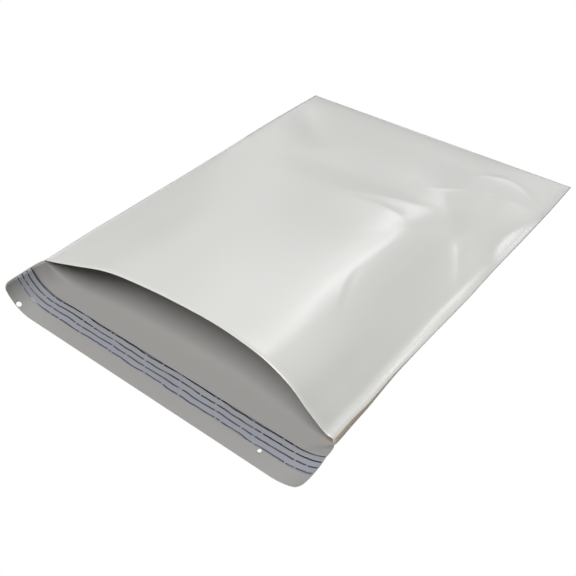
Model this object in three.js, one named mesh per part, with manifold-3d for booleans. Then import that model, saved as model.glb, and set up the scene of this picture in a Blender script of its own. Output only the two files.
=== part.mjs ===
// Poly mailer bag, lying on its back with its mouth arched open.
// Millimetres. X runs across the bag, Y from the lip to the bottom fold, and Z up from the table.
// A place on the flat bag is (s, t): s across from the centre line, t from the mouth line into the
// pocket, so that t is negative on the lip.
import * as THREE from "three";
import { mergeVertices } from "three/addons/utils/BufferGeometryUtils.js";
import Module from "manifold-3d";

// The bag as it is cut and welded
const bagWidth = 254;
const pocketDepth = 325;
const lipDepth = 38;
const lipCornerRadius = 4.5;
const filmThickness = 0.07;
const weldWidth = 0.6;

// The adhesive line on the lip and the liner that covers it
const linerWidth = 13.8;
const linerThickness = 0.05;
const linerToLipEdge = 11.1;
const adhesiveWidth = 11;
const adhesiveThickness = 0.05;
const stripEndInset = 0.6;
const stripGap = 0.1;

// The two pin holes in the lip: place across the bag, distance from the lip's edge and radius
const pinHoles = [
  { across: -110, fromEdge: 2.2, radius: 1.8 },
  { across: 90.5, fromEdge: 9.8, radius: 1.25 },
];
const pinHoleSides = 16;
const pinHoleCutDepth = 3;

// How the bag lies: the arch of the front panel, and the air that keeps the panels apart
const archHeight = 28;
const mouthLean = 4.5;
const leanDepth = 110;
const mouthShift = 1.1;
const shiftDepth = 150;
const leftPuff = 1.6;
const rightPuff = 0.8;
const puffReach = 6;
const archSettleDepth = 190;

// Shape keys as [place, value]. A place across the front panel runs from -1 at the left weld to 1
// at the right one. A place in the pocket is a share of its depth, and one on the lip is minus a
// share of the lip's depth. Turns are in degrees, and reaches are how much film is curled up.
const mouthArch = [
  [-1, 0], [-0.9, 0.12], [-0.75, 0.355], [-0.5, 0.7], [-0.25, 0.85], [0, 0.93], [0.25, 0.965],
  [0.45, 0.925], [0.6, 0.84], [0.75, 0.635], [0.88, 0.27], [1, 0],
];
const deepArch = [
  [-1, 0], [-0.75, 0.3], [-0.5, 0.56], [-0.25, 0.76], [0, 0.91], [0.25, 1], [0.4, 0.99],
  [0.5, 0.93], [0.65, 0.6], [0.75, 0.32], [0.85, 0.12], [1, 0],
];
const archFade = [[0, 1], [0.31, 0.7], [0.58, 0.37], [0.69, 0.21], [0.86, 0.1], [1, 0]];
const leftReach = [[-1, 31], [-0.35, 31], [0, 33], [1, 33]];
const leftTurn = [
  [-1, 85], [-0.68, 74], [-0.35, 66], [0, 40], [0.12, 37], [0.27, 27], [0.5, 16], [0.75, 12],
  [0.9, 5], [1, 0],
];
const rightReach = [[-1, 22], [-0.35, 22], [0, 7], [0.05, 7], [0.1, 7.5], [0.22, 10], [1, 10]];
const rightTurn = [
  [-1, 38], [-0.7, 30], [-0.4, 36], [-0.12, 65], [0, 160], [0.05, 157], [0.1, 125], [0.16, 105],
  [0.22, 90], [0.33, 68], [0.46, 47], [0.58, 41], [0.72, 22], [0.88, 1], [1, 0],
];

const leastTurn = 1e-4;

// Grid lines of the film
const leftCurlColumns = 6;
const leftPanelColumns = 6;
const rightPanelColumns = 7;
const rightSlopeColumns = 3;
const rightCurlColumns = 7;
const cornerRows = 3;
const pocketRows = 22;
const rowCrowding = 0.6;

const halfWidth = bagWidth / 2;
const mouthY = -(pocketDepth - lipDepth) / 2;
const { lerp, clamp, smoothstep, degToRad } = THREE.MathUtils;

// Value at a place on the smooth curve through the keys.
function keyed(keys, place) {
  const last = keys.length - 1;
  const v = clamp(place, keys[0][0], keys[last][0]);
  let i = 0;
  while (i < last - 1 && v > keys[i + 1][0]) i++;
  const slope = (a, b) => (keys[b][1] - keys[a][1]) / (keys[b][0] - keys[a][0]);
  const span = keys[i + 1][0] - keys[i][0];
  const k = (v - keys[i][0]) / span;
  const slopeIn = slope(Math.max(i - 1, 0), i + 1) * span;
  const slopeOut = slope(i, Math.min(i + 2, last)) * span;
  const rise = keys[i + 1][1] - keys[i][1];
  return (
    keys[i][1] +
    k * slopeIn +
    k * k * (3 * rise - 2 * slopeIn - slopeOut) +
    k * k * k * (slopeIn + slopeOut - 2 * rise)
  );
}

const placeAlong = (t) => (t < 0 ? t / lipDepth : t / pocketDepth);

// The curl of one long edge at depth t: how much film is curled up, and by what angle.
function curl(side, t) {
  const place = placeAlong(t);
  return {
    reach: keyed(side < 0 ? leftReach : rightReach, place),
    turn: degToRad(Math.max(keyed(side < 0 ? leftTurn : rightTurn, place), leastTurn)),
  };
}

// Point on the back panel, lifted off its underside by some distance along its normal.
function backPoint(s, t, lift = 0) {
  const side = Math.sign(s) || 1;
  const { reach, turn } = curl(side, t);
  const flat = halfWidth - reach;
  const turned = (turn * Math.max(Math.abs(s) - flat, 0)) / reach;
  const radius = reach / turn;
  const shift = mouthShift * (1 - smoothstep(t, 0, shiftDepth));
  const x = side * (Math.min(Math.abs(s), flat) + (radius - lift) * Math.sin(turned));
  const z = radius - (radius - lift) * Math.cos(turned);
  return new THREE.Vector3(x + shift, mouthY + t, z);
}

// Height of the arch at a place across the front panel, from 0 at the side welds to 1 at its crest.
// It changes from the mouth's profile to the steadier one further in.
function archAcross(u, t) {
  return lerp(keyed(mouthArch, u), keyed(deepArch, u), smoothstep(t, 0, archSettleDepth));
}

// Point on the front panel's outside, pushed inwards by some distance. At the welds and the fold it
// is the back panel's own point.
function frontPoint(s, t, inset = 0) {
  const toEdge = Math.min(halfWidth - Math.abs(s), pocketDepth - t);
  if (toEdge <= 0) return backPoint(s, t);
  const u = s / halfWidth;
  const left = backPoint(-halfWidth, t);
  const right = backPoint(halfWidth, t);
  const point = left.lerp(right, (u + 1) / 2);
  const puff = lerp(leftPuff, rightPuff, (u + 1) / 2) * (1 - Math.exp(-toEdge / puffReach));
  const across = archAcross(u, t);
  point.z += archHeight * keyed(archFade, placeAlong(t)) * across + puff - inset;
  const lean = mouthLean * (point.z / archHeight) ** 2;
  point.y += lean * (1 - smoothstep(t, 0, leanDepth)) * across;
  return point;
}

// Half width of the lip, which is narrower where its corners are rounded.
function lipHalfWidth(t) {
  const intoCorner = clamp(lipCornerRadius - lipDepth - t, 0, lipCornerRadius);
  return halfWidth - lipCornerRadius + Math.sqrt(lipCornerRadius ** 2 - intoCorner ** 2);
}

const steps = (from, to, count) =>
  Array.from({ length: count }, (_, i) => lerp(from, to, i / count));

const reaches = (keys) => keys.map((key) => key[1]);
const leftFlat = -halfWidth + Math.max(...reaches(leftReach));
const crest = halfWidth / 5;
const rightFlat = halfWidth - Math.max(...reaches(rightReach));
const rightCurl = halfWidth - rightReach.at(-1)[1];
const columns = [
  ...steps(-halfWidth, leftFlat, leftCurlColumns),
  ...steps(leftFlat, crest, leftPanelColumns),
  ...steps(crest, rightFlat, rightPanelColumns),
  ...steps(rightFlat, rightCurl, rightSlopeColumns),
  ...steps(rightCurl, halfWidth, rightCurlColumns),
  halfWidth,
];

const linerFrom = -lipDepth + linerToLipEdge;
const linerTo = linerFrom + linerWidth;
const adhesiveFrom = linerFrom + (linerWidth - adhesiveWidth) / 2;
const adhesiveTo = adhesiveFrom + adhesiveWidth;
const lipRows = [
  ...steps(0, Math.PI / 2, cornerRows).map((a) => -lipDepth + lipCornerRadius * (1 - Math.cos(a))),
  -lipDepth + lipCornerRadius,
  linerFrom,
  adhesiveFrom,
  adhesiveTo,
  linerTo,
  linerTo * 0.55,
  linerTo * 0.2,
];
const depthRows = steps(0, 1, pocketRows).map((v) => {
  const crowded = (1 - Math.cos(Math.PI * v)) / 2;
  return pocketDepth * lerp(v, crowded, rowCrowding);
});

// A grid of points as quads of two triangles. The diagonals lean towards the middle on both halves,
// so that at a corner of the bag the two panels share no triangle.
function addGrid(corners, rows, flipped) {
  for (let i = 1; i < rows.length; i++)
    for (let j = 1; j < rows[i].length; j++) {
      const a = rows[i - 1][j - 1];
      const b = rows[i - 1][j];
      const c = rows[i][j];
      const d = rows[i][j - 1];
      const quad = 2 * j < rows[i].length ? [b, c, d, b, d, a] : [a, b, c, a, c, d];
      corners.push(...(flipped ? quad.reverse() : quad));
    }
}

function bodyFrom(corners) {
  return mergeVertices(new THREE.BufferGeometry().setFromPoints(corners), 1e-4);
}

const firstOf = (rows) => rows.map((row) => row[0]);
const lastOf = (rows) => rows.map((row) => row.at(-1));
const middle = (a, b) => a.clone().add(b).multiplyScalar(0.5);

// The film: one tube of film folded at the bottom, welded along both sides and open at the mouth,
// with the back panel running on past the mouth as the lip.
function filmBody() {
  const pocket = [...depthRows, pocketDepth];
  const outerBack = [...lipRows, ...pocket].map((t) =>
    columns.map((s) => backPoint(t < 0 ? (s * lipHalfWidth(t)) / halfWidth : s, t)),
  );
  const outerFront = pocket.map((t) => columns.map((s) => frontPoint(s, t)));

  // Inside, the two panels meet a weld's width in from the sides and from the bottom fold.
  const inner = (s, t) => {
    const sIn = clamp(s, weldWidth - halfWidth, halfWidth - weldWidth);
    const tIn = Math.min(t, pocketDepth - weldWidth);
    const back = backPoint(sIn, tIn, filmThickness);
    const front = frontPoint(sIn, tIn, filmThickness);
    const joined = sIn !== s || tIn !== t;
    return joined ? { back: middle(back, front), front: middle(back, front) } : { back, front };
  };
  const innerPocket = pocket.map((t) => columns.map((s) => inner(s, t)));
  const innerLip = lipRows.map((t) =>
    columns.map((s) => backPoint((s * lipHalfWidth(t)) / halfWidth, t, filmThickness)),
  );
  const innerBack = [...innerLip, ...innerPocket.map((row) => row.map((p) => p.back))];
  const innerFront = innerPocket.map((row) => row.map((p) => p.front));

  const corners = [];
  const sideRows = lipRows.length + 1;
  addGrid(corners, outerBack, true);
  addGrid(corners, innerBack, false);
  addGrid(corners, outerFront, false);
  addGrid(corners, innerFront, true);
  addGrid(corners, [innerFront[0], outerFront[0]], false);
  addGrid(corners, [outerBack[0], innerBack[0]], false);
  const outerSides = outerBack.slice(0, sideRows);
  const innerSides = innerBack.slice(0, sideRows);
  addGrid(corners, [lastOf(outerSides), lastOf(innerSides)], false);
  addGrid(corners, [firstOf(outerSides), firstOf(innerSides)], true);
  return bodyFrom(corners);
}

// A thin strip along the lip, parallel to its inside face and broken at the same rows.
function stripBody(rows, lift, thickness) {
  const scale = (halfWidth - stripEndInset) / halfWidth;
  const face = (height) => rows.map((t) => columns.map((s) => backPoint(s * scale, t, height)));
  const bottom = face(lift);
  const top = face(lift + thickness);
  const corners = [];
  addGrid(corners, bottom, true);
  addGrid(corners, top, false);
  addGrid(corners, [bottom[0], top[0]], false);
  addGrid(corners, [bottom.at(-1), top.at(-1)], true);
  addGrid(corners, [lastOf(bottom), lastOf(top)], false);
  addGrid(corners, [firstOf(bottom), firstOf(top)], true);
  return bodyFrom(corners);
}

// A short rod square to the film, where a pin hole goes.
function pinRod({ across, fromEdge, radius }) {
  const t = -lipDepth + fromEdge;
  const base = backPoint(across, t);
  const normal = backPoint(across, t, 1).sub(base);
  const rod = new THREE.CylinderGeometry(radius, radius, pinHoleCutDepth, pinHoleSides);
  const turn = new THREE.Quaternion().setFromUnitVectors(new THREE.Vector3(0, 1, 0), normal);
  rod.applyQuaternion(turn);
  rod.translate(base.x, base.y, base.z);
  return rod;
}

const wasm = await Module();
wasm.setup();

function toSolid(geometry) {
  const bare = geometry.clone();
  bare.deleteAttribute("normal");
  bare.deleteAttribute("uv");
  const merged = mergeVertices(bare, 1e-4);
  return new wasm.Manifold(
    new wasm.Mesh({
      numProp: 3,
      vertProperties: merged.attributes.position.array,
      triVerts: new Uint32Array(merged.index.array),
    }),
  );
}

function toGeometry(solid) {
  const mesh = solid.getMesh();
  const geometry = new THREE.BufferGeometry();
  geometry.setAttribute("position", new THREE.BufferAttribute(mesh.vertProperties, 3));
  geometry.setIndex(new THREE.BufferAttribute(mesh.triVerts, 1));
  geometry.computeVertexNormals();
  return geometry;
}

function punchedFilm() {
  const rods = pinHoles.map((hole) => toSolid(pinRod(hole)));
  return toGeometry(rods.reduce((film, rod) => film.subtract(rod), toSolid(filmBody())));
}

const whiteFilm = new THREE.MeshStandardMaterial({ color: 0xe9e9e5, roughness: 0.35 });
const hotMelt = new THREE.MeshStandardMaterial({ color: 0xb9b6a8, roughness: 0.25 });
const clearLiner = new THREE.MeshStandardMaterial({ color: 0xa5a7b2, roughness: 0.2 });

function named(name, geometry, material) {
  const mesh = new THREE.Mesh(geometry, material);
  mesh.name = name;
  return mesh;
}

const adhesiveLift = filmThickness + stripGap;
const linerLift = adhesiveLift + adhesiveThickness + stripGap;
const adhesiveRows = [adhesiveFrom, adhesiveTo];
const linerRows = [linerFrom, ...adhesiveRows, linerTo];
const adhesive = stripBody(adhesiveRows, adhesiveLift, adhesiveThickness);
const liner = stripBody(linerRows, linerLift, linerThickness);

const mailer = new THREE.Group();
mailer.add(named("mailer_bag", punchedFilm(), whiteFilm));
mailer.add(named("adhesive_strip", adhesive, hotMelt));
mailer.add(named("release_liner", liner, clearLiner));

export default mailer;
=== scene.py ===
"""Poly mailer bag lying open on its back: film, adhesive line, release liner, studio and camera."""

import logging
import math
from dataclasses import dataclass, field
from enum import Enum
from typing import Any, Callable, Sequence

import bpy
import numpy as np
from mathutils import Matrix, Vector


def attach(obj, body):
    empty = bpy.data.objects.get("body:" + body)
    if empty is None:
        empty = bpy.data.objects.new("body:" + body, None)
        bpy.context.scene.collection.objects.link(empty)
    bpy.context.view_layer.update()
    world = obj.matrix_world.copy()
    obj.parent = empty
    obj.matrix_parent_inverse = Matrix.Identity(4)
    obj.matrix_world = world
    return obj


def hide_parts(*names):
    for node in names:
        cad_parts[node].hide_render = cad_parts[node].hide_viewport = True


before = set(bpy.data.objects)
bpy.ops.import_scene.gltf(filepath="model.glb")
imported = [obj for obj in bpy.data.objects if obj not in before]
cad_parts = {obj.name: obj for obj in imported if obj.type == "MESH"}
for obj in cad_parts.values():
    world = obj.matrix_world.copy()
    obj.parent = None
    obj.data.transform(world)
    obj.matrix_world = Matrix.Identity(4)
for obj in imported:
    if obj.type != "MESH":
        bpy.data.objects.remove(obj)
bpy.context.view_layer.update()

LOG = logging.getLogger("mailer")

# One millimetre in metres.
MM = 0.001
# Name of the flat bag's UV map, and how far across the back panel lies on it, in metres.
FLAT_MAP = "flat_bag"
BACK_OFFSET = 1.0
# Refractive index of polyethylene film.
FILM_IOR = 1.5

Keys = Sequence[tuple[float, float]]
Colour = tuple[float, float, float, float]


def smooth(value: np.ndarray, low: float, high: float) -> np.ndarray:
    """Smooth step from 0 at low to 1 at high.

    Args:
        value: The numbers to grade.
        low: Where the step starts.
        high: Where the step ends.

    Returns:
        One number from 0 to 1 for each value.
    """
    k = np.clip((np.asarray(value, float) - low) / (high - low), 0.0, 1.0)
    return k * k * (3.0 - 2.0 * k)


def keyed(keys: Keys, place: np.ndarray) -> np.ndarray:
    """Value at each place on the smooth curve through the keys.

    Args:
        keys: Pairs of place and value, in order of place.
        place: Where to read the curve.

    Returns:
        The curve's values.
    """
    at, value = (np.array(column, float) for column in zip(*keys))
    last = len(at) - 1
    v = np.clip(np.asarray(place, float), at[0], at[last])
    i = np.clip(np.searchsorted(at, v, side="left") - 1, 0, last - 1)
    before, after = np.maximum(i - 1, 0), np.minimum(i + 2, last)
    span = at[i + 1] - at[i]
    slope_in = (value[i + 1] - value[before]) / (at[i + 1] - at[before]) * span
    slope_out = (value[after] - value[i]) / (at[after] - at[i]) * span
    rise = value[i + 1] - value[i]
    k = (v - at[i]) / span
    return (
        value[i]
        + k * slope_in
        + k**2 * (3 * rise - 2 * slope_in - slope_out)
        + k**3 * (slope_in + slope_out - 2 * rise)
    )


def spaced(stops: Sequence[float], spacing: Sequence[float]) -> np.ndarray:
    """Places between the stops, about as far apart as each stretch's spacing says.

    Args:
        stops: Where the stretches start and end.
        spacing: One spacing for each stretch.

    Returns:
        The places in order, all the stops included.
    """
    parts = []
    for low, high, gap in zip(stops, stops[1:], spacing):
        count = max(1, round((high - low) / gap))
        parts.append(np.linspace(low, high, count, endpoint=False))
    return np.concatenate([*parts, [stops[-1]]])


def grey(level: float, warmth: float = 0.0) -> Colour:
    """A near-grey colour, warmer where warmth is above 0 and bluer where it is below.

    Args:
        level: Its green value.
        warmth: The share by which red is higher and blue lower.

    Returns:
        The colour.
    """
    return (level * (1 + warmth), level, level * (1 - warmth), 1.0)


class Light(Enum):
    """The studio's lamps."""

    KEY = "front_softbox"
    FRONT_LOW = "low_front_fill"
    FRONT_LEFT = "front_left_fill"
    WINDOW = "back_window"
    WINDOW_SIDE = "back_window_side"
    BACK_GLOW = "back_left_glow"
    LOW_BACK = "low_back_glow"
    LEFT_GLOW = "low_left_glow"


@dataclass(frozen=True)
class Lamp:
    """One soft lamp that looks at the bag.

    Its azimuth is turned from +Y towards +X. Both angles are in degrees, its size and distance in
    metres and its power in watts.
    """

    light: Light
    azimuth: float
    elevation: float
    size: tuple[float, float]
    power: float
    distance: float = 2.0

    def hang(self) -> None:
        """Adds the lamp to the scene."""
        data = bpy.data.lights.new(self.light.value, "AREA")
        data.shape = "RECTANGLE"
        data.size, data.size_y = self.size
        data.energy = self.power
        lamp = bpy.data.objects.new(self.light.value, data)
        bpy.context.scene.collection.objects.link(lamp)
        a, e = math.radians(self.azimuth), math.radians(self.elevation)
        way = Vector((math.sin(a) * math.cos(e), math.cos(a) * math.cos(e), math.sin(e)))
        lamp.location = way * self.distance
        lamp.rotation_euler = (-way).to_track_quat("-Z", "Y").to_euler()


@dataclass(frozen=True)
class Crease:
    """A ridge or valley pressed into the front panel, in millimetres on the flat bag.

    It runs along a bend of three points. Its height is over the panel, negative for a valley, and
    its flanks are as wide as right and left say, seen from its start. Its crest is near 0 for a
    knife fold and 1 for a soft swell.
    """

    start: tuple[float, float]
    through: tuple[float, float]
    end: tuple[float, float]
    height: float
    right: float
    left: float
    crest: float = 0.25
    bend_points: int = 25
    taper_power: float = 1.2

    def height_at(self, s: np.ndarray, t: np.ndarray) -> np.ndarray:
        """Height that the crease adds.

        Args:
            s: Places across the bag.
            t: Places along the bag.

        Returns:
            One height for each place.
        """
        v = np.linspace(0.0, 1.0, self.bend_points)
        bend = [
            (1 - v) ** 2 * a + 2 * v * (1 - v) * (2 * m - (a + b) / 2) + v**2 * b
            for a, m, b in zip(self.start, self.through, self.end)
        ]
        nearest = np.full(np.shape(s), np.inf)
        along = np.zeros(np.shape(s))
        width = np.full(np.shape(s), self.right)
        for k in range(len(v) - 1):
            ax, ay = bend[0][k], bend[1][k]
            dx, dy = bend[0][k + 1] - ax, bend[1][k + 1] - ay
            part = np.clip(((s - ax) * dx + (t - ay) * dy) / (dx * dx + dy * dy), 0, 1)
            away = np.hypot(s - ax - part * dx, t - ay - part * dy)
            closer = away < nearest
            nearest = np.where(closer, away, nearest)
            on_left = dx * (t - ay) - dy * (s - ax) > 0
            width = np.where(closer, np.where(on_left, self.left, self.right), width)
            along = np.where(closer, (k + part) / (len(v) - 1), along)
        off = np.sqrt((nearest / width) ** 2 + self.crest**2) - self.crest
        taper = np.sin(np.pi * np.clip(along, 0, 1)) ** self.taper_power
        return self.height * taper * np.exp(-off)


@dataclass(frozen=True)
class FilmShape:
    """The bag's film as it lies, in millimetres: s across the bag, t from its mouth line.

    The two reaches are the widths of the sides' curls, and the two turns the angles that they
    turn through, in degrees. These keys and the arch's fade run along the bag, as shares of the
    pocket's depth or minus shares of the lip's. The arch's own keys run across it, from -1 at the
    left weld to 1 at the right.
    """

    width: float = 254.0
    pocket_depth: float = 325.0
    lip_depth: float = 38.0
    lip_corner_radius: float = 4.5
    film_thickness: float = 0.07
    arch_height: float = 28.0
    mouth_lean: float = 4.5
    lean_depth: float = 110.0
    mouth_shift: float = 1.1
    shift_depth: float = 150.0
    left_puff: float = 1.6
    right_puff: float = 0.8
    puff_reach: float = 6.0
    arch_settle_depth: float = 190.0
    pinned_width: float = 4.0
    mouth_roll: float = 1.0
    roll_reach: float = 1.0
    lift_reach: float = 20.0
    lift_share: float = 0.5
    least_turn: float = 1e-4
    mouth_arch: Keys = (
        (-1, 0), (-0.9, 0.12), (-0.75, 0.355), (-0.5, 0.7), (-0.25, 0.85), (0, 0.93),
        (0.25, 0.965), (0.45, 0.925), (0.6, 0.84), (0.75, 0.635), (0.88, 0.27), (1, 0),
    )
    deep_arch: Keys = (
        (-1, 0), (-0.75, 0.3), (-0.5, 0.56), (-0.25, 0.76), (0, 0.91), (0.25, 1), (0.4, 0.99),
        (0.5, 0.93), (0.65, 0.6), (0.75, 0.32), (0.85, 0.12), (1, 0),
    )
    arch_fade: Keys = ((0, 1), (0.31, 0.7), (0.58, 0.37), (0.69, 0.21), (0.86, 0.1), (1, 0))
    left_reach: Keys = ((-1, 31), (-0.35, 31), (0, 33), (1, 33))
    left_turn: Keys = (
        (-1, 85), (-0.68, 74), (-0.35, 66), (0, 40), (0.12, 37), (0.27, 27), (0.5, 16),
        (0.75, 12), (0.9, 5), (1, 0),
    )
    right_reach: Keys = (
        (-1, 22), (-0.35, 22), (0, 7), (0.05, 7), (0.1, 7.5), (0.22, 10), (1, 10),
    )
    right_turn: Keys = (
        (-1, 38), (-0.7, 30), (-0.4, 36), (-0.12, 65), (0, 160), (0.05, 157), (0.1, 125),
        (0.16, 105), (0.22, 90), (0.33, 68), (0.46, 47), (0.58, 41), (0.72, 22), (0.88, 1), (1, 0),
    )
    creases: tuple[Crease, ...] = ()

    @property
    def half_width(self) -> float:
        """Half the width across the welds."""
        return self.width / 2

    @property
    def mouth_y(self) -> float:
        """Place of the mouth line along Y."""
        return -(self.pocket_depth - self.lip_depth) / 2

    def place_along(self, t: np.ndarray) -> np.ndarray:
        """Share of the pocket's depth, or minus the share of the lip's."""
        return np.where(t < 0, t / self.lip_depth, t / self.pocket_depth)

    def back_point(self, s: np.ndarray, t: np.ndarray, lift: float = 0.0) -> np.ndarray:
        """Points of the back panel, lifted off its underside along its normal.

        Args:
            s: Places across the bag.
            t: Places along the bag.
            lift: Distance off the underside.

        Returns:
            An array of points, one row each.
        """
        place = self.place_along(t)
        left = s < 0
        reach = np.where(left, keyed(self.left_reach, place), keyed(self.right_reach, place))
        degrees = np.where(left, keyed(self.left_turn, place), keyed(self.right_turn, place))
        turn = np.radians(np.maximum(degrees, self.least_turn))
        flat = self.half_width - reach
        turned = turn * np.maximum(np.abs(s) - flat, 0) / reach
        radius = reach / turn
        shift = self.mouth_shift * (1 - smooth(t, 0, self.shift_depth))
        x = np.where(left, -1, 1) * (
            np.minimum(np.abs(s), flat) + (radius - lift) * np.sin(turned)
        )
        z = radius - (radius - lift) * np.cos(turned)
        return np.stack([x + shift, self.mouth_y + t, z], -1)

    def arch_across(self, u: np.ndarray, t: np.ndarray) -> np.ndarray:
        """Height of the arch across the front panel, 0 at the welds and 1 at its crest."""
        settled = smooth(t, 0, self.arch_settle_depth)
        return (1 - settled) * keyed(self.mouth_arch, u) + settled * keyed(self.deep_arch, u)

    def front_point(self, s: np.ndarray, t: np.ndarray) -> np.ndarray:
        """Points of the front panel's outside.

        Args:
            s: Places across the bag.
            t: Places along the bag, none on the lip.

        Returns:
            An array of points, one row each.
        """
        u = s / self.half_width
        left = self.back_point(np.full(np.shape(s), -self.half_width), t)
        right = self.back_point(np.full(np.shape(s), self.half_width), t)
        point = left + (right - left) * ((u + 1) / 2)[..., None]
        to_side = self.half_width - np.abs(s)
        to_fold = self.pocket_depth - t
        to_edge = np.minimum(to_side, to_fold)
        puff = self.left_puff + (self.right_puff - self.left_puff) * (u + 1) / 2
        puff = puff * (1 - np.exp(-to_edge / self.puff_reach))
        arch = self.arch_across(u, t)
        point[..., 2] += self.arch_height * keyed(self.arch_fade, self.place_along(t)) * arch
        point[..., 2] += puff
        lean = self.mouth_lean * (point[..., 2] / self.arch_height) ** 2
        point[..., 1] += lean * (1 - smooth(t, 0, self.lean_depth)) * arch
        pinned = smooth(to_edge, 0, self.pinned_width)
        for crease in self.creases:
            point[..., 2] += crease.height_at(s, t) * pinned
        roll = np.exp(-t / self.roll_reach) - self.lift_share * np.exp(-t / self.lift_reach)
        point[..., 2] -= self.mouth_roll * roll * smooth(to_side, 0, self.pinned_width)
        return point

    def lip_half_width(self, t: np.ndarray) -> np.ndarray:
        """Half width at each place, narrower where the lip's corners are rounded.

        Args:
            t: Places along the bag.

        Returns:
            One half width for each place.
        """
        radius = self.lip_corner_radius
        into = np.clip(radius - self.lip_depth - t, 0, radius)
        return self.half_width - radius + np.sqrt(radius**2 - into**2)


class Signal:
    """A number in a material's nodes that takes Python's operators."""

    def __init__(self, board: "Board", socket: bpy.types.NodeSocket) -> None:
        """Keeps the socket and the board that it is on."""
        self.board = board
        self.socket = socket

    def _math(self, operation: str, *values: Any) -> "Signal":
        """Adds a Math node over some values.

        Args:
            operation: What the node does with them.
            *values: Numbers or signals, in the order of its inputs.

        Returns:
            The node's result.
        """
        inputs = dict(enumerate(values))
        made = self.board.node("ShaderNodeMath", {"operation": operation}, inputs)
        return Signal(self.board, made.outputs[0])

    def __add__(self, other: Any) -> "Signal":
        """self + other."""
        return self._math("ADD", self, other)

    def __radd__(self, other: Any) -> "Signal":
        """other + self."""
        return self._math("ADD", other, self)

    def __sub__(self, other: Any) -> "Signal":
        """self - other."""
        return self._math("SUBTRACT", self, other)

    def __rsub__(self, other: Any) -> "Signal":
        """other - self."""
        return self._math("SUBTRACT", other, self)

    def __mul__(self, other: Any) -> "Signal":
        """self * other."""
        return self._math("MULTIPLY", self, other)

    def __rmul__(self, other: Any) -> "Signal":
        """other * self."""
        return self._math("MULTIPLY", other, self)

    def __truediv__(self, other: Any) -> "Signal":
        """self / other."""
        return self._math("DIVIDE", self, other)

    def below(self, limit: Any) -> "Signal":
        """1 where the signal is under the limit."""
        return self._math("LESS_THAN", self, limit)

    def fraction(self) -> "Signal":
        """The signal's part after the point."""
        return self._math("FRACT", self)

    def size(self) -> "Signal":
        """The signal without its sign."""
        return self._math("ABSOLUTE", self)

    def at_least(self, other: Any) -> "Signal":
        """The larger of the two."""
        return self._math("MAXIMUM", self, other)

    def step(self, low: float, high: float) -> "Signal":
        """Smooth step from 0 to 1.

        Args:
            low: Where the step starts.
            high: Where the step ends.

        Returns:
            The step.
        """
        made = self.board.node(
            "ShaderNodeMapRange",
            {"interpolation_type": "SMOOTHSTEP"},
            {"Value": self, "From Min": low, "From Max": high},
        )
        return Signal(self.board, made.outputs[0])


class Board:
    """The node tree of one material, or of the world."""

    def __init__(self, name: str, world: bool = False) -> None:
        """Makes an empty material or world with an output node.

        Args:
            name: The material's or world's name.
            world: Whether this is the world's tree.
        """
        self.owner = (bpy.data.worlds if world else bpy.data.materials).new(name)
        self.owner.use_nodes = True
        self.tree = self.owner.node_tree
        self.tree.nodes.clear()
        kind = "ShaderNodeOutputWorld" if world else "ShaderNodeOutputMaterial"
        self.output = self.tree.nodes.new(kind)

    def node(
        self,
        kind: str,
        settings: dict[str, Any] | None = None,
        inputs: dict[str | int, Any] | None = None,
    ) -> bpy.types.Node:
        """Adds one node.

        Args:
            kind: The node's type.
            settings: Its own settings, set first.
            inputs: A value, signal or socket for each input, by name or number.

        Returns:
            The new node.
        """
        made = self.tree.nodes.new(kind)
        for key, value in (settings or {}).items():
            setattr(made, key, value)
        for key, value in (inputs or {}).items():
            socket = made.inputs[key]
            if isinstance(value, Signal):
                self.tree.links.new(value.socket, socket)
            elif isinstance(value, bpy.types.NodeSocket):
                self.tree.links.new(value, socket)
            else:
                socket.default_value = value
        return made

    def flat_place(self) -> tuple[Signal, Signal]:
        """The place on the flat bag.

        Returns:
            How far it is across and along the bag, in metres.
        """
        uv = self.node("ShaderNodeUVMap", {"uv_map": FLAT_MAP})
        parts = self.node("ShaderNodeSeparateXYZ", None, {0: uv.outputs[0]})
        return Signal(self, parts.outputs[0]), Signal(self, parts.outputs[1])

    def noise(self, scale: float, detail: float = 2.0) -> Signal:
        """Noise from 0 to 1 over the object's own coordinates.

        Args:
            scale: How many waves there are in a metre.
            detail: How many finer layers are laid over it.

        Returns:
            The noise.
        """
        place = self.node("ShaderNodeTexCoord").outputs["Object"]
        made = self.node(
            "ShaderNodeTexNoise", None, {"Vector": place, "Scale": scale, "Detail": detail}
        )
        return Signal(self, made.outputs[0])

    def blend(self, share: Any, first: Any, second: Any) -> bpy.types.NodeSocket:
        """Mixes two colours.

        Args:
            share: How much of the second colour shows.
            first: The first colour.
            second: The second colour.

        Returns:
            The mixed colour's socket.
        """
        made = self.node("ShaderNodeMix", {"data_type": "RGBA"}, {0: share, 6: first, 7: second})
        return made.outputs[2]

    def finish(self, surface: bpy.types.NodeSocket) -> bpy.types.Material | bpy.types.World:
        """Links the surface to the output and hands over the material or world."""
        self.tree.links.new(surface, self.output.inputs["Surface"])
        return self.owner


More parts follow.
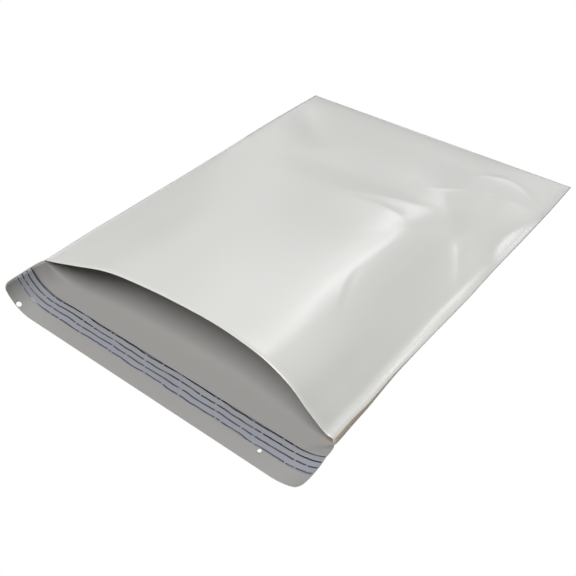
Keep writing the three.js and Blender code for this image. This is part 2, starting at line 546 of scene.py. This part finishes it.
@dataclass(frozen=True)
class FilmFinish:
    """Semi-gloss polyethylene film, with the faint ripples and clouding of blown film.

    Its pocket colour is laid over it inside the pocket: on the white film a plain tone, on the grey
    inside a lighter colour, painted light that stands in for daylight through the film. The weld's
    painted shade is a brown darkening on the back panel beside the right weld, for the shade on the
    underside of its curled edge. Pairs of places, in metres, say where a change starts and where
    it is complete.
    """

    name: str
    base: Colour
    cloud: Colour
    # Pocket colour: on the grey inside it is painted light, for daylight through the film.
    pocket_tone_and_painted_light: Colour
    roughness: float
    roughness_spread: float = 0.06
    cloud_scale: float = 9.0
    cloud_detail: float = 3.0
    ripple_scale: float = 38.0
    ripple_height: float = 0.00004
    pocket_colour_along: tuple[float, float] = (-0.004, 0.03)
    # Painted shade: brown darkening on the back panel beside the right weld, for the shaded
    # underside of its curled edge.
    weld_painted_shade: Colour = (0.5, 0.43, 0.34, 1.0)
    painted_shade_across: tuple[float, float] = (BACK_OFFSET + 0.108, BACK_OFFSET + 0.12)
    painted_shade_from: tuple[float, float] = (-0.001, 0.002)
    painted_shade_until: tuple[float, float] = (0.1, 0.17)

    def material(self) -> bpy.types.Material:
        """Makes the film's material.

        Returns:
            The material, which shows the weld tint only on the back panel.
        """
        board = Board(self.name)
        across, along = board.flat_place()
        # Painted shade beside the right weld, on the back panel only.
        painted_shade_mask = across.step(*self.painted_shade_across)
        painted_shade_mask = painted_shade_mask * along.step(*self.painted_shade_from) * (1 - along.step(*self.painted_shade_until))
        clouding = board.noise(self.cloud_scale, self.cloud_detail)
        colour = board.blend(clouding, self.base, self.cloud)
        # Painted light: inside the pocket the grey inside turns lighter, for daylight through the
        # film.
        colour = board.blend(along.step(*self.pocket_colour_along), colour, self.pocket_tone_and_painted_light)
        ripple = board.noise(self.ripple_scale)
        bump = board.node(
            "ShaderNodeBump", None, {"Distance": self.ripple_height, "Height": ripple}
        )
        shader = board.node(
            "ShaderNodeBsdfPrincipled",
            None,
            {
                # Base colour with the weld's painted shade laid over it.
                "Base Color": board.blend(painted_shade_mask, colour, self.weld_painted_shade),
                "Roughness": self.roughness + self.roughness_spread * (clouding - 0.5),
                "Normal": bump.outputs[0],
                "IOR": FILM_IOR,
            },
        )
        return board.finish(shader.outputs[0])


@dataclass(frozen=True)
class RowBreak:
    """Short breaks in the liner's rows, evenly spaced, in metres.

    Strength is how much of the ink is missing in a break.
    """

    spacing: float
    gap: float
    strength: float


@dataclass(frozen=True)
class LinerFinish:
    """Smooth bluish liner with rows of dark dashes, in metres.

    A row's edges are soft: softness says, as shares of its width, where the ink starts to fade
    and where none is left. Its ink is full in places and only the least ink elsewhere.
    """

    name: str
    tint: Colour
    cloud: Colour
    row_colours: tuple[Colour, ...]
    row_places: tuple[float, ...]
    row_width: float
    breaks: tuple[RowBreak, ...]
    cloud_scale: float = 30.0
    waviness: float = 0.0034
    wave_scale: float = 42.0
    softness: tuple[float, float] = (0.35, 0.65)
    break_shift: float = 0.37
    least_ink: float = 0.62
    fading: tuple[float, float] = (0.25, 0.5)
    fading_scale: float = 55.0
    fading_scale_step: float = 9.0
    roughness: float = 0.22

    def material(self) -> bpy.types.Material:
        """Makes the liner's material.

        Returns:
            The material, with its rows along the lip.
        """
        board = Board(self.name)
        across, along = board.flat_place()
        colour: Any = board.blend(board.noise(self.cloud_scale), self.tint, self.cloud)
        along = along + self.waviness * (board.noise(self.wave_scale) - 0.5)
        edge = [self.row_width * share for share in self.softness]
        for row, (ink, place) in enumerate(zip(self.row_colours, self.row_places)):
            stripe = 1 - (along - place).size().step(*edge)
            for k, missing in enumerate(self.breaks):
                phase = across / missing.spacing + self.break_shift * (row + 1) * (k + 2)
                in_gap = phase.fraction().below(missing.gap / missing.spacing)
                stripe = stripe * (1 - in_gap * missing.strength)
            fullness = board.noise(self.fading_scale + self.fading_scale_step * row)
            fullness = fullness.step(*self.fading)
            inked = self.least_ink + fullness * (1 - self.least_ink)
            colour = board.blend(stripe * inked, colour, ink)
        shader = board.node(
            "ShaderNodeBsdfPrincipled",
            None,
            {"Base Color": colour, "Roughness": self.roughness, "IOR": FILM_IOR},
        )
        return board.finish(shader.outputs[0])


@dataclass(frozen=True)
class MeltFinish:
    """Tacky hot-melt, yellowish and a little uneven."""

    name: str = "hot_melt"
    base: Colour = (0.55, 0.53, 0.45, 1.0)
    pale: Colour = (0.64, 0.62, 0.55, 1.0)
    roughness: float = 0.2
    roughness_spread: float = 0.15
    streak_scale: float = 60.0
    streak_detail: float = 3.0
    streak_height: float = 0.00005

    def material(self) -> bpy.types.Material:
        """Makes the adhesive's material.

        Returns:
            The material, streaked in colour, gloss and height.
        """
        board = Board(self.name)
        streak = board.noise(self.streak_scale, self.streak_detail)
        bump = board.node(
            "ShaderNodeBump", None, {"Distance": self.streak_height, "Height": streak}
        )
        shader = board.node(
            "ShaderNodeBsdfPrincipled",
            None,
            {
                "Base Color": board.blend(streak, self.base, self.pale),
                "Roughness": self.roughness + self.roughness_spread * streak,
                "Normal": bump.outputs[0],
            },
        )
        return board.finish(shader.outputs[0])


def deselect_all() -> None:
    """Clears the selection in object mode."""
    if bpy.context.object and bpy.context.object.mode != "OBJECT":
        bpy.ops.object.mode_set(mode="OBJECT")
    bpy.ops.object.select_all(action="DESELECT")


def choose(*pieces: bpy.types.Object) -> None:
    """Selects pieces and makes the first one active.

    Args:
        *pieces: The pieces, and no others, that end up selected.
    """
    deselect_all()
    for piece in pieces:
        piece.select_set(True)
    bpy.context.view_layer.objects.active = pieces[0]


def shaped_grid(
    name: str,
    columns: np.ndarray,
    rows: np.ndarray,
    place: Callable[[np.ndarray, np.ndarray], np.ndarray],
    map_offset: float = 0.0,
) -> bpy.types.Object:
    """A grid primitive laid over the flat bag and moved point by point to its place.

    Args:
        name: The piece's name.
        columns: Places across the bag, in millimetres.
        rows: Places along the bag, in millimetres.
        place: Gives the points for places across and along, in millimetres.
        map_offset: How far the piece's flat map is moved across, in metres.

    Returns:
        The grid, in metres, with its flat places as a UV map.
    """
    deselect_all()
    bpy.ops.mesh.primitive_grid_add(
        x_subdivisions=len(columns) - 1, y_subdivisions=len(rows) - 1, size=2
    )
    piece = bpy.context.object
    piece.name = name
    mesh = piece.data
    mesh.name = name
    flat = np.empty(len(mesh.vertices) * 3, np.float32)
    mesh.vertices.foreach_get("co", flat)
    flat = flat.reshape(-1, 3)
    column = np.rint((flat[:, 0] + 1) / 2 * (len(columns) - 1)).astype(int)
    row = np.rint((flat[:, 1] + 1) / 2 * (len(rows) - 1)).astype(int)
    s, t = columns[column], rows[row]
    mesh.vertices.foreach_set("co", (place(s, t) * MM).astype(np.float32).ravel())
    corner = np.empty(len(mesh.loops), np.int32)
    mesh.loops.foreach_get("vertex_index", corner)
    uv_map = mesh.uv_layers.active or mesh.uv_layers.new()
    uv_map.name = FLAT_MAP
    flat_map = np.stack([s * MM + map_offset, t * MM], -1)
    uv_map.data.foreach_set("uv", flat_map[corner].astype(np.float32).ravel())
    mesh.update()
    return piece


def flip_faces(piece: bpy.types.Object) -> None:
    """Turns all the faces of a piece round.

    Args:
        piece: The piece to change.
    """
    choose(piece)
    bpy.ops.object.mode_set(mode="EDIT")
    bpy.ops.mesh.select_all(action="SELECT")
    bpy.ops.mesh.flip_normals()
    bpy.ops.object.mode_set(mode="OBJECT")


def apply_modifier(piece: bpy.types.Object, kind: str, **settings: Any) -> None:
    """Adds a modifier, sets it and applies it.

    Args:
        piece: The piece to change.
        kind: The modifier's type.
        **settings: The modifier's own settings.
    """
    choose(piece)
    modifier = piece.modifiers.new(kind.lower(), kind)
    for key, value in settings.items():
        setattr(modifier, key, value)
    bpy.ops.object.modifier_apply(modifier=modifier.name)


@dataclass(frozen=True)
class PinHole:
    """A round hole in the lip, in millimetres."""

    across: float
    from_edge: float
    radius: float


@dataclass
class MailerFilm:
    """The bag itself: two panels of film joined at the bottom fold and the side welds.

    All lengths are in millimetres. Stops are places where the spacing of its grid changes.
    """

    shape: FilmShape
    outside: FilmFinish
    inside: FilmFinish
    pin_holes: tuple[PinHole, ...] = (PinHole(-110.0, 2.2, 1.8), PinHole(90.5, 9.8, 1.25))
    hole_sides: int = 32
    punch_length: float = 3.0
    weld_merge: float = 0.01
    column_stops: tuple[float, ...] = (-94.0, 5.0, 30.0, 117.0)
    column_spacing: tuple[float, ...] = (2.4, 4.2, 2.2, 1.25, 0.8)
    lip_stop: float = -14.0
    lip_spacing: tuple[float, ...] = (3.0, 1.4)
    corner_rows: int = 7
    pocket_stops: tuple[float, ...] = (2.0, 4.0, 60.0, 155.0, 302.0)
    pocket_spacing: tuple[float, ...] = (0.25, 0.5, 3.4, 3.6, 1.45, 2.4, 1.3)
    fold_rows_depth: float = 6.0

    def columns(self) -> np.ndarray:
        """Places of the film's grid lines across the bag, closest where it is creased."""
        half = self.shape.half_width
        return spaced((-half, *self.column_stops, half), self.column_spacing)

    def lip_rows(self) -> np.ndarray:
        """Places of the lip's grid lines, closer in its rounded corners and at the mouth.

        Returns:
            The places, from the lip's edge up to the line before the mouth line.
        """
        angle = np.linspace(0, np.pi / 2, self.corner_rows, endpoint=False)
        radius = self.shape.lip_corner_radius
        corner = -self.shape.lip_depth + radius * (1 - np.cos(angle))
        stops = (-self.shape.lip_depth + radius, self.lip_stop, 0.0)
        return np.concatenate([corner, spaced(stops, self.lip_spacing)[:-1]])

    def pocket_rows(self) -> np.ndarray:
        """Places of the pocket's grid lines, closest at the mouth and where it is creased.

        Returns:
            The places, from the mouth line to the bottom fold.
        """
        depth = self.shape.pocket_depth
        stops = (0.0, *self.pocket_stops, depth - self.fold_rows_depth, depth)
        return spaced(stops, self.pocket_spacing)

    def back_place(self, s: np.ndarray, t: np.ndarray) -> np.ndarray:
        """Points of the back panel, with the lip's corners rounded."""
        narrowed = s * self.shape.lip_half_width(t) / self.shape.half_width
        return self.shape.back_point(narrowed, t)

    def build(self) -> bpy.types.Object:
        """Builds the film as one closed skin with a white outside and a grey inside.

        Returns:
            The finished piece.
        """
        pocket = self.pocket_rows()
        columns = self.columns()
        front = shaped_grid("mailer_film", columns, pocket, self.shape.front_point)
        back_rows = np.concatenate([self.lip_rows(), pocket])
        back = shaped_grid("back_panel", columns, back_rows, self.back_place, BACK_OFFSET)
        flip_faces(back)
        choose(front, back)
        bpy.ops.object.join()
        bpy.ops.object.mode_set(mode="EDIT")
        bpy.ops.mesh.select_all(action="SELECT")
        bpy.ops.mesh.remove_doubles(threshold=self.weld_merge * MM)
        bpy.ops.object.mode_set(mode="OBJECT")
        bpy.ops.object.shade_smooth()
        front.data.materials.clear()
        front.data.materials.append(self.outside.material())
        front.data.materials.append(self.inside.material())
        apply_modifier(
            front,
            "SOLIDIFY",
            thickness=self.shape.film_thickness * MM,
            offset=-1.0,
            material_offset=1,
            material_offset_rim=0,
        )
        self.punch(front)
        return front

    def punch(self, film: bpy.types.Object) -> None:
        """Cuts the pin holes in the lip.

        Args:
            film: The closed film.
        """
        for hole in self.pin_holes:
            s = np.array([hole.across])
            t = np.array([hole.from_edge - self.shape.lip_depth])
            base = Vector(self.shape.back_point(s, t)[0])
            above = Vector(self.shape.back_point(s, t, 1.0)[0])
            deselect_all()
            bpy.ops.mesh.primitive_cylinder_add(
                vertices=self.hole_sides,
                radius=hole.radius * MM,
                depth=self.punch_length * MM,
                location=base * MM,
                rotation=(above - base).to_track_quat("Z", "Y").to_euler(),
            )
            rod = bpy.context.object
            rod.data.materials.append(film.data.materials[1])
            apply_modifier(film, "BOOLEAN", operation="DIFFERENCE", object=rod, solver="EXACT")
            bpy.data.objects.remove(rod)


@dataclass
class LipStrip:
    """A thin strip laid along the inside of the lip, in millimetres.

    Its start is the place of its outer edge from the mouth line, and its lift the height of its
    underside over the outside of the lip.
    """

    name: str
    shape: FilmShape
    start: float
    width: float
    lift: float
    columns: np.ndarray = field(repr=False)
    thickness: float = 0.05
    end_inset: float = 0.6
    row_count: int = 9

    def build(self, finish: bpy.types.Material) -> bpy.types.Object:
        """Builds the strip.

        Args:
            finish: The strip's material.

        Returns:
            The finished piece.
        """
        half = self.shape.half_width
        scale = (half - self.end_inset) / half

        def place(s: np.ndarray, t: np.ndarray) -> np.ndarray:
            """Points of the strip's underside."""
            return self.shape.back_point(s, t, self.lift)

        rows = np.linspace(self.start, self.start + self.width, self.row_count)
        strip = shaped_grid(self.name, self.columns * scale, rows, place)
        strip.data.materials.clear()
        strip.data.materials.append(finish)
        choose(strip)
        bpy.ops.object.shade_smooth()
        apply_modifier(strip, "SOLIDIFY", thickness=self.thickness * MM, offset=1.0)
        return strip


@dataclass
class Studio:
    """Pale floor, soft lamps, world and the camera.

    The first five values are the camera's: angles in degrees, lengths in metres.
    """

    azimuth: float = 37.62
    elevation: float = 41.56
    roll: float = -0.06
    distance: float = 0.5376
    target: tuple[float, float, float] = (0.02087, -0.0537, 0.0)
    focal_pixels: float = 781.8
    image_width: float = 576.0
    sensor_width: float = 36.0
    nearest_seen: float = 0.01
    floor_size: float = 8.0
    floor_drop: float = 0.0002
    floor_colour: Colour = (0.56, 0.49, 0.41, 1.0)
    world_colour: Colour = (0.96, 0.98, 1.0, 1.0)
    world_strength: float = 0.05
    lamps: tuple[Lamp, ...] = (
        Lamp(Light.KEY, 180, 65, (0.9, 1.4), 33.2),
        Lamp(Light.FRONT_LOW, 182, 15, (0.9, 0.5), 2.6),
        Lamp(Light.FRONT_LEFT, 225, 35, (0.9, 0.7), 1.3),
        Lamp(Light.WINDOW, 341, 42, (0.34, 1.1), 4.6),
        Lamp(Light.WINDOW_SIDE, 350, 42, (0.34, 1.1), 0.6),
        Lamp(Light.BACK_GLOW, 330, 36, (0.85, 0.85), 2.3),
        Lamp(Light.LOW_BACK, 0, 14, (0.85, 0.85), 1.9),
        Lamp(Light.LEFT_GLOW, 316, 18, (0.4, 0.4), 0.3),
    )

    def build(self) -> None:
        """Sets the whole stage."""
        self.floor()
        self.world()
        for lamp in self.lamps:
            lamp.hang()
        self.camera()

    def floor(self) -> None:
        """Lays a wide floor that shows white to the camera and in reflections and bounces warm
        brown light.
        """
        deselect_all()
        bpy.ops.mesh.primitive_plane_add(size=self.floor_size, location=(0, 0, -self.floor_drop))
        floor = bpy.context.object
        floor.name = "studio_floor"
        board = Board("studio_floor")
        path = board.node("ShaderNodeLightPath")
        seen = (
            Signal(board, path.outputs["Is Camera Ray"])
            .at_least(Signal(board, path.outputs["Is Glossy Ray"]))
            .at_least(Signal(board, path.outputs["Is Transmission Ray"]))
        )
        paint = board.node("ShaderNodeBsdfDiffuse", None, {"Color": self.floor_colour})
        white = board.node("ShaderNodeEmission", None, {"Color": grey(1.0), "Strength": 1.0})
        mix = board.node(
            "ShaderNodeMixShader", None, {0: seen, 1: paint.outputs[0], 2: white.outputs[0]}
        )
        floor.data.materials.append(board.finish(mix.outputs[0]))

    def world(self) -> None:
        """Fills the room with faint even light that looks white behind the floor's edge."""
        board = Board("studio", world=True)
        path = board.node("ShaderNodeLightPath")
        room = board.node(
            "ShaderNodeBackground", None, {0: self.world_colour, 1: self.world_strength}
        )
        white = board.node("ShaderNodeBackground", None, {0: grey(1.0), 1: 1.0})
        seen = Signal(board, path.outputs["Is Camera Ray"]).at_least(
            Signal(board, path.outputs["Is Transmission Ray"])
        )
        mix = board.node(
            "ShaderNodeMixShader", None, {0: seen, 1: room.outputs[0], 2: white.outputs[0]}
        )
        bpy.context.scene.world = board.finish(mix.outputs[0])

    def camera(self) -> None:
        """Places the camera where the photograph was taken from."""
        a, e, r = (math.radians(v) for v in (self.azimuth, self.elevation, self.roll))
        back = Vector((math.sin(a) * math.cos(e), -math.cos(a) * math.cos(e), math.sin(e)))
        right = (-back).cross(Vector((0, 0, 1))).normalized()
        up = back.cross(right)
        tilted_right = math.cos(r) * right + math.sin(r) * up
        tilted_up = math.cos(r) * up - math.sin(r) * right
        data = bpy.data.cameras.new("camera")
        data.sensor_width = self.sensor_width
        data.lens = self.focal_pixels / self.image_width * self.sensor_width
        data.clip_start = self.nearest_seen
        camera = bpy.data.objects.new("camera", data)
        bpy.context.scene.collection.objects.link(camera)
        place = Matrix.Translation(Vector(self.target) + back * self.distance)
        turn = Matrix((tilted_right, tilted_up, back)).transposed()
        camera.matrix_world = place @ turn.to_4x4()
        bpy.context.scene.camera = camera


# The soft ridge from the arch's crest, the swell across it and the faint crease on its flank.
RIDGE = (
    Crease((68, -60), (75, 110), (46, 250), 1.0, 20, 20, 0.9),
    Crease((0, 184), (38, 190), (66, 176), 0.5, 14, 4, 0.5),
    Crease((58, 118), (68, 88), (83, 54), 0.2, 1.6, 1.6, 0.3),
    Crease((62, 118), (72, 88), (87, 56), -0.2, 1.6, 1.6, 0.3),
)
# The sunk band that makes a bright hem along the right weld.
SEAM_HEM = (
    Crease((121.5, -100), (120.5, 10), (119, 130), -2.1, 4, 5, 0.6),
    Crease((120.5, 30), (117.5, 125), (121.5, 210), -1.2, 4, 5, 0.6),
)
# Where the ridge ends: a long swell with a steep near side, a dent, a facet and a far swell.
RIDGE_END = (
    Crease((-16, 190), (34, 209), (86, 221), 1.7, 14, 80, 0.4),
    Crease((46, 180), (64, 190), (78, 208), -0.9, 10, 6, 0.5),
    Crease((88, 206), (69, 227), (50, 252), 1.1, 12, 12, 0.3),
    Crease((28, 244), (50, 248), (72, 242), 0.6, 18, 24, 0.5),
)
# The creases and dents between the ridge's end and the right weld.
RIGHT_CREASES = (
    Crease((40, 238), (74, 263), (118, 281), 0.9, 5, 12, 0.3),
    Crease((58, 284), (86, 300), (115, 283), 0.75, 4, 3, 0.3),
    Crease((96, 272), (117, 274), (138, 275), 0.7, 10, 5, 0.3),
    Crease((130, 272), (115, 228), (128, 182), -1.4, 6, 6.5, 0.35),
    Crease((91, 200), (103, 180), (121, 146), 0.7, 3.5, 12, 0.25),
    Crease((88, 196), (110, 194), (134, 196), 0.9, 12, 5, 0.4),
    Crease((66, 178), (80, 198), (94, 220), -0.6, 9, 9, 0.6),
)
# The long swell on the left, a short ridge at the left weld and the dip before the far corner.
FAR_SWELLS = (
    Crease((-88, 70), (-82, 180), (-80, 310), 1.0, 60, 20, 0.8),
    Crease((-126, 180), (-123.5, 205), (-125.5, 226), 1.0, 5, 2, 0.3),
    Crease((-124, 304), (-95, 272), (-60, 238), -1.4, 11, 9, 0.7),
)
CREASES = RIDGE + SEAM_HEM + RIDGE_END + RIGHT_CREASES + FAR_SWELLS


WHITE_FILM = FilmFinish(
    "white_film",
    (0.80, 0.803, 0.775, 1.0),
    (0.775, 0.778, 0.75, 1.0),
    (0.788, 0.791, 0.763, 1.0),
    0.23,
)
# Its third colour is painted light: lighter inside the pocket, for daylight through the film.
GREY_INSIDE = FilmFinish(
    "grey_inside",
    (0.41, 0.403, 0.39, 1.0),
    (0.383, 0.377, 0.365, 1.0),
    (0.475, 0.458, 0.445, 1.0),
    0.4,
)


@dataclass(frozen=True)
class LipLayout:
    """The adhesive, the liner and its printed rows, in millimetres from the lip's edge."""

    melt_start: float = 12.5
    melt_width: float = 11.0
    melt_lift: float = 0.17
    liner_start: float = 11.1
    liner_width: float = 13.8
    liner_lift: float = 0.32
    row_inset: float = 0.7
    row_width: float = 0.9
    liner_tint: Colour = (0.345, 0.355, 0.405, 1.0)
    liner_cloud: Colour = grey(0.41, -0.03)
    pale_ink: Colour = (0.055, 0.06, 0.11, 1.0)
    dark_ink: Colour = grey(0.03, -0.05)
    breaks: tuple[RowBreak, ...] = (
        RowBreak(47.0 * MM, 1.1 * MM, 0.95),
        RowBreak(29.0 * MM, 1.65 * MM, 0.6),
    )

    def liner_finish(self, start: float) -> LinerFinish:
        """The liner's finish, with its rows spread evenly over its width.

        Args:
            start: The place of the liner's outer edge from the mouth line, in millimetres.

        Returns:
            The finish.
        """
        inks = (self.pale_ink, self.pale_ink, self.dark_ink, self.dark_ink)
        spread = self.liner_width - 2 * self.row_inset
        places = tuple(
            (start + self.row_inset + k * spread / (len(inks) - 1)) * MM
            for k in range(len(inks))
        )
        return LinerFinish(
            "clear_liner",
            self.liner_tint,
            self.liner_cloud,
            inks,
            places,
            self.row_width * MM,
            self.breaks,
        )


def main() -> None:
    """Builds the bag's pieces, ties them to the frame and sets the studio."""
    logging.basicConfig(level=logging.INFO, format="%(message)s")
    shape = FilmShape(creases=CREASES)
    film = MailerFilm(shape, WHITE_FILM, GREY_INSIDE)
    columns = film.columns()
    bag = film.build()
    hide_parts("mailer_bag")
    LOG.info("film: %d faces", len(bag.data.polygons))

    lip = LipLayout()
    melt_start = lip.melt_start - shape.lip_depth
    melt_line = LipStrip("melt_line", shape, melt_start, lip.melt_width, lip.melt_lift, columns)
    melt = melt_line.build(MeltFinish().material())
    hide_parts("adhesive_strip")
    LOG.info("adhesive: %d faces", len(melt.data.polygons))

    start = lip.liner_start - shape.lip_depth
    liner_strip = LipStrip("liner_strip", shape, start, lip.liner_width, lip.liner_lift, columns)
    liner = liner_strip.build(lip.liner_finish(start).material())
    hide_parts("release_liner")
    LOG.info("liner: %d faces", len(liner.data.polygons))

    for piece in (bag, melt, liner):
        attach(piece, "root")
    Studio().build()
    bpy.context.scene.view_settings.view_transform = "Standard"


if __name__ == "__main__":
    main()
